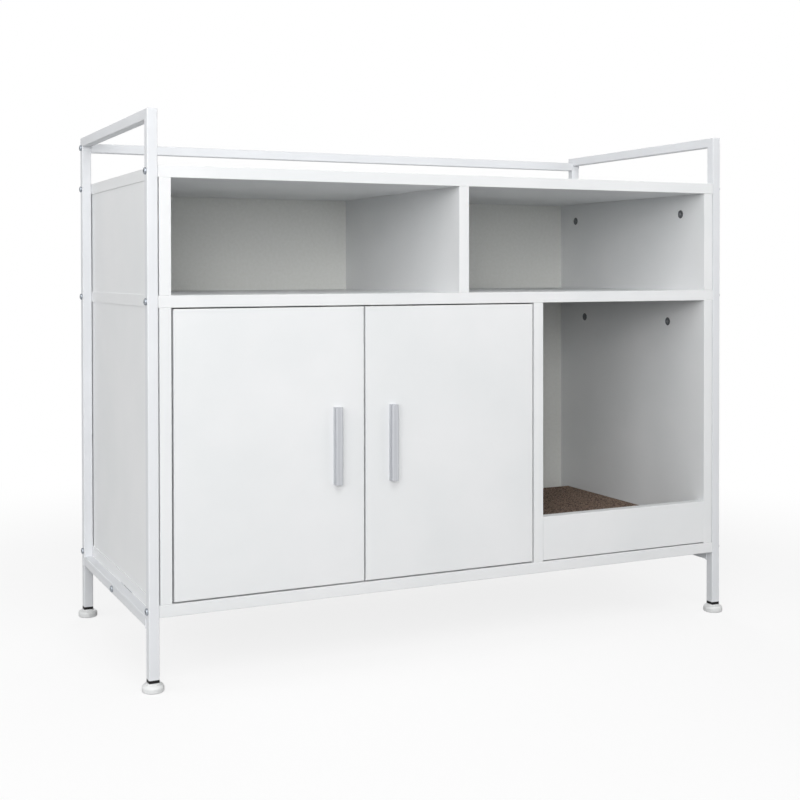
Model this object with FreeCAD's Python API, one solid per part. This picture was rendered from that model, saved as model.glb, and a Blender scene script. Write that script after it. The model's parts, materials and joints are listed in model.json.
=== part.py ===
"""Litter box cabinet: a board carcass with two inset doors and a side entry, hung between two steel frames.

All sizes are millimetres. X runs left to right, Y front to back and Z up. The origin lies on the
floor, midway between the two side frames and midway between their front and rear posts.
"""
import FreeCAD, Part
import math
import os

from FreeCAD import Vector

# ---------------------------------------------------------------- overall sizes
CABINET_WIDTH = 1050.0      # outside to outside of the two side frames
CABINET_DEPTH = 450.0       # front of the front posts to rear of the rear posts
BOARD = 18.0                # thickness of every carcass board and of the doors
BACK_BOARD = 3.0            # thickness of the rear panels
PANEL_STEP = 1.5            # ends of the level boards to the outer faces of the side panels
FOOT_HEIGHT = 18.0          # floor to the cut lower end of a post
LEG_HEIGHT = 90.0           # lower end of a post to the underside of the bottom board
LOWER_OPENING = 434.0       # bottom board to middle shelf
UPPER_OPENING = 172.0       # middle shelf to top board
GUARD_HEIGHT = 82.0         # top board to the top of the side frames
GUARD_DROP = 10.0           # top of the side frames to the top of the rear guard rail
ENTRY_WIDTH = 338.5         # clear width of the entry compartment
SILL_HEIGHT = 73.0          # height of the board across the foot of the entry
SILL_GAP = 2.0              # seam under that board
EDGE_ROUND = 0.8            # rounding of the edge banding

# ---------------------------------------------------------------- steel tube
TUBE = 16.0                 # outside of the square tube
TUBE_WALL = 1.2
TUBE_ROUND = 1.6            # outside corner radius of the tube

# ---------------------------------------------------------------- passage in the lower divider
PASSAGE_WIDTH = 210.0
PASSAGE_HEIGHT = 260.0
PASSAGE_SILL = 70.0         # bottom board to the lower edge of the passage
PASSAGE_CORNER = 30.0       # radius of the two lower corners

# ---------------------------------------------------------------- doors
DOOR_SIDE_GAP = 3.0
DOOR_HEAD_GAP = 2.0         # middle shelf to the doors
DOOR_FOOT_GAP = 2.5         # doors to the bottom board
SWING_CLEARANCE = 0.25      # least gap between a door's edge and its neighbour while it swings
HINGE_INSET = 80.0          # door end to the middle of the nearer hinge

# ---------------------------------------------------------------- concealed hinge
CUP_RADIUS = 17.5
CUP_WALL = 1.0
CUP_TO_PIVOT = 10.5         # cup centre to the pivot, along the door
PIVOT_INSET = 12.0          # door's hinge edge to the pivot
FLANGE = 1.2                # thickness of the cup's flange
FLANGE_WIDTH = 13.0
FLANGE_LENGTH = 62.0
FLANGE_ROUND = 4.3
FLANGE_SHIFT = 5.0          # flange wings to the cup centre, away from the door edge
PIVOT_PIN_RADIUS = 1.25
EYE_RADIUS = 2.3
EYE_CLEARANCE = 0.3         # between the horn's eye and the cup's floor
PIN_CLEARANCE = 0.1         # between the pivot pin's end and the cup's outside
HORN = 2.2                  # thickness of the curved horn that carries the pivot
HORN_HEIGHT = 10.0
HORN_REACH = 13.0           # straight run of the horn inside the cup
HORN_CLEARANCE = 0.5        # between the horn's outer run and the corner that swings past it
ARM_HEIGHT = 14.0
ARM_WALL = 1.5
ARM_DEPTH = 9.0             # arm's stand-off from its plate
ARM_LENGTH = 46.0
PLATE = 3.0                 # thickness of the mounting plate
PLATE_WIDTH = 18.0
PLATE_LENGTH = 38.0
PLATE_SPAN = 50.0           # tip to tip of the plate's two wings
PLATE_WING_WIDTH = 12.6
PLATE_SPINE_ROUND = 3.0
PLATE_WING_ROUND = 5.0
PLATE_SETBACK = 37.0        # closed door's rear face to the row of plate screws
PLATE_SCREW_PITCH = 32.0
PLATE_SCREW_RADIUS = 1.7
PLATE_SCREW_HEAD = 3.4
PLATE_SCREW_HEAD_HEIGHT = 1.6
PLATE_SCREW_DEPTH = 12.6    # screw inside the board

# ---------------------------------------------------------------- handles
HANDLE_LENGTH = 120.0
HANDLE_WIDTH = 11.5
HANDLE_DEPTH = 12.5
HANDLE_EDGE = 1.8           # chamfer along the front edges
HANDLE_GROOVE = 1.6         # depth of the finger groove along each side
HANDLE_GROOVE_WIDTH = 6.4
HANDLE_WAIST = 4.4          # door's face to the middle of the groove
HANDLE_SCREW_PITCH = 96.0
HANDLE_INSET = 46.5         # door's free edge to the handle's centre line
HANDLE_SCREW_RADIUS = 2.0
HANDLE_SCREW_HEAD = 4.0
HANDLE_SCREW_HEAD_HEIGHT = 2.4
HANDLE_SCREW_GRIP = 7.5     # screw inside the handle

# ---------------------------------------------------------------- catches
CATCH_WIDTH = 45.0
CATCH_DEPTH = 14.0
CATCH_HEIGHT = 12.0
CATCH_INSET = 40.0          # door's free edge to the catch's centre line
CATCH_LUG = 2.5             # thickness of the catch's screw lugs
CATCH_LUG_LENGTH = 8.0
CATCH_ROUND = 1.5
CATCH_SCREW_RADIUS = 1.5
CATCH_SCREW_HEAD = 2.9
CATCH_SCREW_HEAD_HEIGHT = 1.3
CATCH_SCREW_LENGTH = 14.0
STRIKE_WIDTH = 30.0
STRIKE_HEIGHT = 14.0
STRIKE = 1.0
STRIKE_ROUND = 2.0
STRIKE_DROP = 2.5           # top of the door to the strike plate

# ---------------------------------------------------------------- feet
INSERT_LENGTH = 25.0        # plug inside the post
INSERT_FLANGE = 4.5         # black rim that shows under the post
FOOT_RADIUS = 16.5
FOOT_PAD = 11.5             # height of the round pad
FOOT_ROUND = 5.5            # rounding of the pad's upper edge
FOOT_SOLE_ROUND = 2.0
FOOT_NECK_RADIUS = 10.5
FOOT_SCREW_RADIUS = 3.0
FOOT_SOCKET = 5.0           # how far the screw is set into the pad

# ---------------------------------------------------------------- fasteners
BOLT_RADIUS = 3.0
BOLT_HEAD_RADIUS = 5.25
BOLT_HEAD = 3.2
BOLT_HEAD_ROUND = 1.9
BOLT_SOCKET = 4.0           # hexagon across flats
BOLT_SOCKET_DEPTH = 2.0
BOLT_GRIP = 28.0            # bolt inside the board's insert nut
NUT_RADIUS = 4.0
NUT_LENGTH = 30.0
END_NUT_LENGTH = 14.0       # threaded block in the end of a tube
CAM_RADIUS = 7.5
CAM_DEPTH = 12.5
CAM_SLOT_WIDTH = 1.6
CAM_SLOT_LENGTH = 9.0
CAM_SLOT_DEPTH = 2.0
CAM_BOLT_RADIUS = 3.0
CAM_BOLT_THREAD = 11.0      # cam bolt inside the board that it pulls on
UPPER_CAM_DROP = 34.0       # upper boards' ends to the centre of the cam
UPPER_CAM_INSET = 65.0      # front edge to the front cam of the upper boards
UPPER_CAM_REAR_INSET = 52.0     # rear edge to the rear cam of the upper boards
LOWER_CAM_DROP = 41.0       # the same three sizes for the lower boards
LOWER_CAM_INSET = 101.0
LOWER_CAM_REAR_INSET = 84.0
DOWEL_RADIUS = 4.0
DOWEL_LENGTH = 30.0
DOWEL_SINK = 12.0           # dowel inside the board that it starts from
DOWEL_INSET = 125.0         # front edge to the front dowel
DOWEL_REAR_INSET = 122.0    # rear edge to the rear dowel
SILL_DOWEL_SPREAD = 36.0
PANEL_SCREW_RADIUS = 2.5
PANEL_SCREW_HEAD = 4.8
PANEL_SCREW_HEAD_DEPTH = 3.0
PANEL_SCREW_LENGTH = 50.0
PANEL_SCREW_INSET = 65.0    # front edge to the front screw
PANEL_SCREW_REAR_INSET = 62.0
BACK_SCREW_RADIUS = 1.6
BACK_SCREW_HEAD = 3.6
BACK_SCREW_HEAD_HEIGHT = 1.6
BACK_SCREW_LENGTH = 15.0
BACK_SCREW_INSET = 60.0     # carcass side to the outermost screws
BACK_SEAM = 1.0             # between the two back panels

# ---------------------------------------------------------------- scratching pad
PAD_HEIGHT = 38.0
PAD_SIDE_GAP = 5.0
PAD_FRONT_GAP = 6.0
PAD_REAR_GAP = 33.0
PAD_ROUND = 1.5

# ---------------------------------------------------------------- fits
BORE_CLEARANCE = 0.05       # between a fastener and its bore, on the radius
BOLT_CLEARANCE = 0.2        # between a bolt and its hole in a tube wall, on the radius

# ---------------------------------------------------------------- places worked out from the sizes
FRAME_X = CABINET_WIDTH / 2 - TUBE              # ends of the level boards
PANEL_X = FRAME_X - PANEL_STEP - BOARD          # inner faces of the side panels
FRONT = -CABINET_DEPTH / 2
REAR = CABINET_DEPTH / 2
CARCASS_REAR = REAR - BACK_BOARD
POST_FRONT_Y = FRONT + TUBE / 2
POST_REAR_Y = REAR - TUBE / 2
BOTTOM_Z = FOOT_HEIGHT + LEG_HEIGHT
FLOOR_Z = BOTTOM_Z + BOARD
SHELF_Z = FLOOR_Z + LOWER_OPENING
SHELF_TOP_Z = SHELF_Z + BOARD
TOP_Z = SHELF_TOP_Z + UPPER_OPENING
TOP_FACE_Z = TOP_Z + BOARD
FRAME_TOP_Z = TOP_FACE_Z + GUARD_HEIGHT
DIVIDER_X1 = PANEL_X - ENTRY_WIDTH              # entry side of the lower divider
DIVIDER_X0 = DIVIDER_X1 - BOARD                 # door side of the lower divider
DOOR_WIDTH = (DIVIDER_X0 + PANEL_X - 3 * DOOR_SIDE_GAP) / 2
DOOR_Z0 = FLOOR_Z + DOOR_FOOT_GAP
DOOR_Z1 = SHELF_Z - DOOR_HEAD_GAP
DOOR_MIDDLE_Z = (DOOR_Z0 + DOOR_Z1) / 2
PIVOT_REACH = PIVOT_INSET + DOOR_SIDE_GAP - SWING_CLEARANCE     # pivot to the door's front corner
PIVOT_DEPTH = math.sqrt(PIVOT_REACH ** 2 - PIVOT_INSET ** 2)    # door's front face to the pivot
CUP_DEPTH = BOARD - PIVOT_DEPTH + EYE_RADIUS + EYE_CLEARANCE + CUP_WALL
BOARD_LEVELS = (BOTTOM_Z + BOARD / 2, SHELF_Z + BOARD / 2, TOP_Z + BOARD / 2)
GUARD_Z = FRAME_TOP_Z - GUARD_DROP - TUBE / 2   # centre of the rear guard rail
LOWER_RAIL_Z = BOTTOM_Z - TUBE / 2              # centre of the lower side rails and the beam

X_AXIS = Vector(1, 0, 0)
Y_AXIS = Vector(0, 1, 0)
Z_AXIS = Vector(0, 0, 1)

nodes = {}


# ---------------------------------------------------------------- building blocks
def block(x0, x1, y0, y1, z0, z1):
    """Plain rectangular solid between two corners."""
    return Part.makeBox(x1 - x0, y1 - y0, z1 - z0, Vector(x0, y0, z0))


def rod(radius, start, axis, length):
    """Round solid of one radius from a start point along an axis."""
    return Part.makeCylinder(radius, length, start, axis)


def joined(shapes):
    """One solid from several that overlap or touch."""
    whole = shapes[0]
    for shape in shapes[1:]:
        whole = whole.fuse(shape)
    return whole.removeSplitter()


def drilled(shape, holes):
    """The shape with every hole cut out of it."""
    for hole in holes:
        shape = shape.cut(hole)
    return shape


def mirrored(shape):
    """The same shape reflected from the left side of the cabinet to the right."""
    return shape.mirror(Vector(0, 0, 0), X_AXIS)


def rounded_outline(width, height, radius):
    """Closed wire in the XY plane, centred on the origin, with quarter circles at its corners."""
    w, h = width / 2 - radius, height / 2 - radius
    corners = ((w, h, 0), (-w, h, 90), (-w, -h, 180), (w, -h, 270))
    arcs = [Part.makeCircle(radius, Vector(x, y, 0), Z_AXIS, a, a + 90) for x, y, a in corners]
    edges = []
    for i, arc in enumerate(arcs):
        after = arcs[(i + 1) % 4]
        edges += [arc, Part.makeLine(arc.Vertexes[-1].Point, after.Vertexes[0].Point)]
    return Part.Wire(edges)


def rounded_bar(width, height, radius, length):
    """Solid bar of rounded section that rises from the XY plane along Z."""
    return Part.Face(rounded_outline(width, height, radius)).extrude(Vector(0, 0, length))


def tube(length):
    """Square tube that rises from the XY plane along Z, centred on the Z axis."""
    bore = TUBE - 2 * TUBE_WALL
    inner = rounded_bar(bore, bore, TUBE_ROUND - TUBE_WALL, length)
    return rounded_bar(TUBE, TUBE, TUBE_ROUND, length).cut(inner)


def along_x(shape):
    """Lays a shape that rises along Z down along X."""
    return shape.rotated(Vector(0, 0, 0), Y_AXIS, 90)


def along_y(shape):
    """Lays a shape that rises along Z down along Y."""
    return shape.rotated(Vector(0, 0, 0), X_AXIS, -90)


def hexagon(across_flats, start, axis, depth):
    """Hexagonal prism, for the socket in a bolt's head."""
    radius = across_flats / math.sqrt(3)
    points = [Vector(radius * math.cos(k * math.pi / 3), radius * math.sin(k * math.pi / 3), 0)
              for k in range(7)]
    prism = Part.Face(Part.makePolygon(points)).extrude(Vector(0, 0, depth))
    turn = FreeCAD.Rotation(Z_AXIS, axis)
    prism.Placement = FreeCAD.Placement(start, turn)
    return prism


def softened(shape, chosen, radius=EDGE_ROUND):
    """Rounds the edges that the test picks out."""
    edges = [edge for edge in shape.Edges if chosen(edge)]
    return shape.makeFillet(radius, edges)


def on_plane(edge, axis, value):
    """Does the whole edge lie in the plane where that coordinate has this value?"""
    box = edge.BoundBox
    low = getattr(box, axis + "Min")
    high = getattr(box, axis + "Max")
    return abs(low - value) < 1e-4 and abs(high - value) < 1e-4


def carcass_board(x0, x1, z0, z1, y0=FRONT, y1=CARCASS_REAR):
    """Carcass board whose banded front edge is slightly rounded."""
    return softened(block(x0, x1, y0, y1, z0, z1), lambda edge: on_plane(edge, "Y", y0))


# ---------------------------------------------------------------- holes shared by several pieces
def post_bolt_places():
    """Points on the left post faces where a bolt enters a horizontal board, and their sides."""
    places = []
    for side in (-1, 1):
        for y in (POST_FRONT_Y, POST_REAR_Y):
            for z in BOARD_LEVELS:
                places.append((side, y, z))
    return places


def rail_bolt_places():
    """Bolts that hold the rear guard rail and the beam under the bottom board."""
    return [(side, y, z) for side in (-1, 1) for y, z in ((POST_REAR_Y, GUARD_Z), (0.0, LOWER_RAIL_Z))]


def bolt_hole(side, y, z):
    """Clearance hole through both walls of a side frame tube."""
    start = Vector(side * (FRAME_X + TUBE), y, z)
    return rod(BOLT_RADIUS + BOLT_CLEARANCE, start, X_AXIS * -side, TUBE)


def nut_bore(side, y, z):
    """Bore in a board's end for its insert nut and the tip of the bolt beyond it."""
    start = Vector(side * FRAME_X, y, z)
    return rod(NUT_RADIUS + BORE_CLEARANCE, start, X_AXIS * -side, NUT_LENGTH)


def upright_places():
    """Middle plane, foot level and cam side of every upright board."""
    side = PANEL_X + BOARD / 2
    return {
        "left_upper_panel": (-side, SHELF_TOP_Z, 1),
        "right_upper_panel": (side, SHELF_TOP_Z, -1),
        "upper_divider": (0.0, SHELF_TOP_Z, 1),
        "left_lower_panel": (-side, FLOOR_Z, 1),
        "right_lower_panel": (side, FLOOR_Z, -1),
        "lower_divider": ((DIVIDER_X0 + DIVIDER_X1) / 2, FLOOR_Z, -1),
    }


def cam_places():
    """Every cam: its board's name and middle plane, its side, its centre, and the board's head."""
    places = []
    for name, (x, foot, face) in upright_places().items():
        if foot == FLOOR_Z:
            head, drop, inset, rear_inset = SHELF_Z, LOWER_CAM_DROP, LOWER_CAM_INSET, LOWER_CAM_REAR_INSET
        else:
            head, drop, inset, rear_inset = TOP_Z, UPPER_CAM_DROP, UPPER_CAM_INSET, UPPER_CAM_REAR_INSET
        for y in (FRONT + inset, CARCASS_REAR - rear_inset):
            places.append((name, face, Vector(x, y, head - drop), head))
    return places


def cam_pocket(face, centre):
    """Round pocket for a cam, open on the face that the cam is turned from."""
    start = centre + X_AXIS * (face * BOARD / 2)
    return rod(CAM_RADIUS + BORE_CLEARANCE, start, X_AXIS * -face, CAM_DEPTH)


def cam_bolt_bore(centre, head):
    """Bore for a cam bolt, from the cam's centre up into the board above."""
    return rod(CAM_BOLT_RADIUS + BORE_CLEARANCE, centre, Z_AXIS, head - centre.z + CAM_BOLT_THREAD)


def foot_dowels(x, z, extra=0.0):
    """Two dowels between an upright's foot and the board below it."""
    return [rod(DOWEL_RADIUS + extra, Vector(x, y, z - DOWEL_SINK), Z_AXIS, DOWEL_LENGTH)
            for y in (FRONT + DOWEL_INSET, CARCASS_REAR - DOWEL_REAR_INSET)]


def sill_dowels(extra=0.0):
    """Two dowels at each end of the entry sill."""
    y = FRONT + BOARD / 2
    middle = FLOOR_Z + SILL_GAP + SILL_HEIGHT / 2
    levels = (middle - SILL_DOWEL_SPREAD / 2, middle + SILL_DOWEL_SPREAD / 2)
    left = [rod(DOWEL_RADIUS + extra, Vector(DIVIDER_X1 - DOWEL_SINK, y, z), X_AXIS, DOWEL_LENGTH)
            for z in levels]
    right = [rod(DOWEL_RADIUS + extra, Vector(PANEL_X + DOWEL_SINK, y, z), X_AXIS * -1, DOWEL_LENGTH)
             for z in levels]
    return left + right


def panel_screws(x, z, extra=0.0):
    """Two screws that come up through a board into an upright. Their heads are sunk flush."""
    screws = []
    for y in (FRONT + PANEL_SCREW_INSET, CARCASS_REAR - PANEL_SCREW_REAR_INSET):
        base = Vector(x, y, z - BOARD)
        head = rod(PANEL_SCREW_HEAD + extra, base, Z_AXIS, PANEL_SCREW_HEAD_DEPTH)
        screws.append(head.fuse(rod(PANEL_SCREW_RADIUS + extra, base, Z_AXIS, PANEL_SCREW_LENGTH)))
    return screws


def back_screw_places():
    """Points on the rear face where the two back panels are screwed to the boards."""
    end = FRAME_X - BACK_SCREW_INSET
    across = [end * k / 2 for k in (-2, -1, 0, 1, 2)]
    offset = BOARD / 4
    rows = [(x, z) for x in across for z in (BOARD_LEVELS[0], BOARD_LEVELS[2])]
    rows += [(x, BOARD_LEVELS[1] - offset) for x in across]
    rows += [(x + BACK_SCREW_INSET / 2, BOARD_LEVELS[1] + offset) for x in across[:-1]]
    for x, foot, face in upright_places().values():
        opening = LOWER_OPENING if foot == FLOOR_Z else UPPER_OPENING
        rows.append((x, foot + opening / 2))
    return rows


def back_screw(x, z, extra=0.0):
    """Small pan-head screw through a back panel into the board in front of it."""
    head = rod(BACK_SCREW_HEAD + extra, Vector(x, REAR, z), Y_AXIS, BACK_SCREW_HEAD_HEIGHT)
    shank = rod(BACK_SCREW_RADIUS + extra, Vector(x, REAR, z), Y_AXIS * -1, BACK_SCREW_LENGTH)
    return head.fuse(shank)


def back_screw_bores(x0, x1, z0, z1):
    """Bores of the back screws that fall inside a rectangle seen from behind."""
    return [back_screw(x, z, BORE_CLEARANCE) for x, z in back_screw_places()
            if x0 < x < x1 and z0 < z < z1]


# ---------------------------------------------------------------- steel side frames
def mitre(y_outer, inward, keep_post):
    """Wedge that trims a post or a top rail to the 45 degree line through their shared corner."""
    outer_top = Vector(0, y_outer, FRAME_TOP_Z)
    inner_low = Vector(0, y_outer + inward * TUBE, FRAME_TOP_Z - TUBE)
    third = Vector(0, inner_low.y, outer_top.z) if keep_post else Vector(0, outer_top.y, inner_low.z)
    face = Part.Face(Part.makePolygon([outer_top, inner_low, third, outer_top]))
    wedge = face.extrude(Vector(TUBE, 0, 0))
    wedge.translate(Vector(-CABINET_WIDTH / 2, 0, 0))
    return wedge


def left_post(y_centre, y_outer, inward):
    """Post of the left frame, mitred at its head, with its bolt holes."""
    post = tube(FRAME_TOP_Z - FOOT_HEIGHT)
    post.translate(Vector(-FRAME_X - TUBE / 2, y_centre, FOOT_HEIGHT))
    places = post_bolt_places() + rail_bolt_places()
    holes = [bolt_hole(side, y, z) for side, y, z in places if side < 0 and y == y_centre]
    return drilled(post.cut(mitre(y_outer, inward, True)), holes)


def left_top_rail():
    """Top rail of the left frame, mitred at both ends."""
    rail = along_y(tube(CABINET_DEPTH))
    rail.translate(Vector(-FRAME_X - TUBE / 2, FRONT, FRAME_TOP_Z - TUBE / 2))
    return rail.cut(mitre(FRONT, 1, False)).cut(mitre(REAR, -1, False))


def left_lower_rail():
    """Lower rail of the left frame, butted between the posts under the bottom board."""
    rail = along_y(tube(CABINET_DEPTH - 2 * TUBE))
    rail.translate(Vector(-FRAME_X - TUBE / 2, FRONT + TUBE, LOWER_RAIL_Z))
    return rail.cut(bolt_hole(-1, 0.0, LOWER_RAIL_Z))


def cross_rail(y, z):
    """Tube from one side frame to the other, with a threaded block in each end."""
    rail = along_x(tube(2 * FRAME_X))
    rail.translate(Vector(-FRAME_X, y, z))
    return rail


def make_frames():
    """Two side frames, the rear guard rail and the beam under the bottom board."""
    left = {
        "front_post": left_post(POST_FRONT_Y, FRONT, 1),
        "rear_post": left_post(POST_REAR_Y, REAR, -1),
        "top_rail": left_top_rail(),
        "lower_rail": left_lower_rail(),
    }
    for name, shape in left.items():
        nodes["left_" + name] = shape
        nodes["right_" + name] = mirrored(shape)
    nodes["rear_guard_rail"] = cross_rail(POST_REAR_Y, GUARD_Z)
    nodes["centre_beam"] = cross_rail(0.0, LOWER_RAIL_Z)


# ---------------------------------------------------------------- horizontal boards
def level_board(z0):
    """Full-width horizontal board with its end bores, and the bores of the uprights it meets."""
    board = carcass_board(-FRAME_X, FRAME_X, z0, z0 + BOARD)
    holes = [nut_bore(side, y, z) for side, y, z in post_bolt_places() if z0 < z < z0 + BOARD]
    holes += [cam_bolt_bore(centre, head) for name, face, centre, head in cam_places() if head == z0]
    for x, foot, face in upright_places().values():
        if foot == z0 + BOARD:
            holes += foot_dowels(x, foot, BORE_CLEARANCE) + panel_screws(x, foot, BORE_CLEARANCE)
    holes += back_screw_bores(-FRAME_X, FRAME_X, z0, z0 + BOARD)
    return drilled(board, holes)


def make_level_boards():
    """Top board, middle shelf and bottom board."""
    nodes["top_board"] = level_board(TOP_Z)
    nodes["middle_shelf"] = drilled(level_board(SHELF_Z), catch_screws(BORE_CLEARANCE))
    nodes["bottom_board"] = level_board(BOTTOM_Z)


# ---------------------------------------------------------------- upright boards
def upright(name):
    """Upright board between two horizontal ones, with its cam pockets and foot bores."""
    x, foot, face = upright_places()[name]
    head = SHELF_Z if foot == FLOOR_Z else TOP_Z
    board = carcass_board(x - BOARD / 2, x + BOARD / 2, foot, head)
    own = [(centre, head) for other, face, centre, head in cam_places() if other == name]
    holes = [cam_pocket(face, centre) for centre, head in own]
    holes += [cam_bolt_bore(centre, head) for centre, head in own]
    holes += foot_dowels(x, foot, BORE_CLEARANCE) + panel_screws(x, foot, BORE_CLEARANCE)
    holes += back_screw_bores(x - BOARD / 2, x + BOARD / 2, foot, head)
    return drilled(board, holes)


def passage():
    """Arched passage through the lower divider: straight sides, a round head and rounded lower corners."""
    half = PASSAGE_WIDTH / 2
    z0 = FLOOR_Z + PASSAGE_SILL
    spring = z0 + PASSAGE_HEIGHT - half
    lower = block(DIVIDER_X0, DIVIDER_X1, -half, half, z0, spring)
    lower = softened(lower, lambda edge: on_plane(edge, "Z", z0) and edge.BoundBox.YLength < 1, PASSAGE_CORNER)
    head = rod(half, Vector(DIVIDER_X0, 0, spring), X_AXIS, BOARD)
    return joined([lower, head])


def sill_board():
    """Low board across the foot of the entry, flush with the front."""
    z0 = FLOOR_Z + SILL_GAP
    sill = block(DIVIDER_X1, PANEL_X, FRONT, FRONT + BOARD, z0, z0 + SILL_HEIGHT)
    sill = softened(sill, lambda edge: edge.BoundBox.XLength > BOARD)
    return drilled(sill, sill_dowels(BORE_CLEARANCE))


def make_uprights():
    """Side panels, dividers and the entry sill."""
    for name in upright_places():
        nodes[name] = upright(name)
    nodes["left_lower_panel"] = drilled(nodes["left_lower_panel"], plate_screws(False, BORE_CLEARANCE))
    nodes["right_lower_panel"] = drilled(nodes["right_lower_panel"], sill_dowels(BORE_CLEARANCE))
    holes = [passage()] + sill_dowels(BORE_CLEARANCE) + plate_screws(True, BORE_CLEARANCE)
    nodes["lower_divider"] = drilled(nodes["lower_divider"], holes)
    nodes["entry_sill"] = sill_board()


def make_back_panels():
    """Two thin panels screwed over the rear edges. They meet on the middle shelf."""
    seam = BOARD_LEVELS[1]
    half = BACK_SEAM / 2
    spans = {"upper_back_panel": (seam + half, TOP_FACE_Z), "lower_back_panel": (BOTTOM_Z, seam - half)}
    for name, (z0, z1) in spans.items():
        panel = block(-FRAME_X, FRAME_X, CARCASS_REAR, REAR, z0, z1)
        nodes[name] = drilled(panel, back_screw_bores(-FRAME_X, FRAME_X, z0, z1))


# ---------------------------------------------------------------- doors, drawn at the left-hand hinge
def hinge_levels():
    """Heights of the two hinges of a door."""
    return DOOR_Z0 + HINGE_INSET, DOOR_Z1 - HINGE_INSET


def handle_screw_levels():
    """Heights of the two screws of a handle."""
    return DOOR_MIDDLE_Z - HANDLE_SCREW_PITCH / 2, DOOR_MIDDLE_Z + HANDLE_SCREW_PITCH / 2


def door_panel():
    """Left door with its edge at X = 0 and its front at Y = 0, bored for cups and handle screws."""
    panel = block(0, DOOR_WIDTH, 0, BOARD, DOOR_Z0, DOOR_Z1)
    panel = softened(panel, lambda edge: on_plane(edge, "Y", 0) or on_plane(edge, "Y", BOARD))
    cup_x = PIVOT_INSET + CUP_TO_PIVOT
    holes = [rod(CUP_RADIUS + BORE_CLEARANCE, Vector(cup_x, BOARD - CUP_DEPTH, z), Y_AXIS, CUP_DEPTH)
             for z in hinge_levels()]
    holes += [rod(HANDLE_SCREW_RADIUS + BOLT_CLEARANCE, Vector(DOOR_WIDTH - HANDLE_INSET, 0, z), Y_AXIS, BOARD)
              for z in handle_screw_levels()]
    return drilled(panel, holes)


def hinge_cup(z):
    """Pressed cup with a winged flange on the door's rear face."""
    x = PIVOT_INSET + CUP_TO_PIVOT
    base = Vector(x, BOARD - CUP_DEPTH, z)
    bowl = rod(CUP_RADIUS, base, Y_AXIS, CUP_DEPTH)
    wings = along_y(rounded_bar(FLANGE_WIDTH, FLANGE_LENGTH, FLANGE_ROUND, FLANGE))
    wings.translate(Vector(x + FLANGE_SHIFT, BOARD, z))
    rim = rod(CUP_RADIUS + CUP_WALL, Vector(x, BOARD, z), Y_AXIS, FLANGE)
    cup = joined([bowl, wings, rim])
    hollow = rod(CUP_RADIUS - CUP_WALL, base + Y_AXIS * CUP_WALL, Y_AXIS, CUP_DEPTH + FLANGE)
    return drilled(cup, [hollow, hinge_pin(z, BORE_CLEARANCE)])


def pin_half_length():
    """Half the length of the pivot pin, so that it ends inside the cup's wall."""
    offset = CUP_TO_PIVOT + PIVOT_PIN_RADIUS
    return math.sqrt(CUP_RADIUS ** 2 - offset ** 2) - PIN_CLEARANCE


def hinge_pin(z, extra=0.0):
    """Pivot pin across the cup."""
    half = pin_half_length()
    return rod(PIVOT_PIN_RADIUS + extra, Vector(PIVOT_INSET, PIVOT_DEPTH, z - half), Z_AXIS, 2 * half)


def hinge_horn(z):
    """Curved horn: it leaves the pivot along the cup's floor and turns back over the door's edge."""
    x, y, low = PIVOT_INSET, PIVOT_DEPTH, z - HORN_HEIGHT / 2
    sweep = math.hypot(PIVOT_INSET, BOARD - PIVOT_DEPTH)
    bend = (sweep + HORN / 2 + HORN_CLEARANCE) / 2
    bend_x = x + HORN_REACH
    eye = rod(EYE_RADIUS, Vector(x, y, low), Z_AXIS, HORN_HEIGHT)
    run = block(x, bend_x, y - HORN / 2, y + HORN / 2, low, low + HORN_HEIGHT)
    outer = rod(bend + HORN / 2, Vector(bend_x, y + bend, low), Z_AXIS, HORN_HEIGHT)
    inner = rod(bend - HORN / 2, Vector(bend_x, y + bend, low), Z_AXIS, HORN_HEIGHT)
    left_half = block(bend_x - 2 * bend, bend_x, y - bend, y + 3 * bend, low, low + HORN_HEIGHT)
    back_y = y + 2 * bend
    start_x = plate_face() + ARM_DEPTH - ARM_WALL
    back = block(start_x, bend_x, back_y - HORN / 2, back_y + HORN / 2, low, low + HORN_HEIGHT)
    return joined([eye, run, outer.cut(inner).cut(left_half), back]), back_y - HORN / 2


def plate_face():
    """X of the mounting plate's face, seen from the door's hinge edge."""
    return -DOOR_SIDE_GAP + PLATE


def hinge_arm(z):
    """Channel-shaped arm on its plate, with the horn at its front end and the pivot's bore."""
    horn, y0 = hinge_horn(z)
    x0, x1 = plate_face(), plate_face() + ARM_DEPTH
    low, high = z - ARM_HEIGHT / 2, z + ARM_HEIGHT / 2
    shell = block(x0, x1, y0, y0 + ARM_LENGTH, low, high)
    shell = softened(shell, lambda edge: on_plane(edge, "X", x1), ARM_WALL)
    channel = block(x0, x1 - ARM_WALL, y0 + ARM_WALL, y0 + ARM_LENGTH, low + ARM_WALL, high - ARM_WALL)
    bore = rod(PIVOT_PIN_RADIUS + BORE_CLEARANCE, Vector(PIVOT_INSET, PIVOT_DEPTH, z - HORN_HEIGHT), Z_AXIS,
               2 * HORN_HEIGHT)
    return joined([shell.cut(channel), horn]).cut(bore)


def plate_row_y():
    """Depth of the plate's screws behind the front of the door."""
    return BOARD + PLATE_SETBACK


def plate_screw_pair(z, extra=0.0):
    """Two screws through the wings of a hinge plate into the side board."""
    screws = []
    for half in (-1, 1):
        face = Vector(plate_face(), plate_row_y(), z + half * PLATE_SCREW_PITCH / 2)
        head = rod(PLATE_SCREW_HEAD + extra, face, X_AXIS, PLATE_SCREW_HEAD_HEIGHT)
        screws.append(head.fuse(rod(PLATE_SCREW_RADIUS + extra, face, X_AXIS * -1, PLATE + PLATE_SCREW_DEPTH)))
    return screws


def plate_screws(right, extra=0.0):
    """Screws of both hinge plates of one door, in place."""
    return [placed(screw, right) for z in hinge_levels() for screw in plate_screw_pair(z, extra)]


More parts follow.
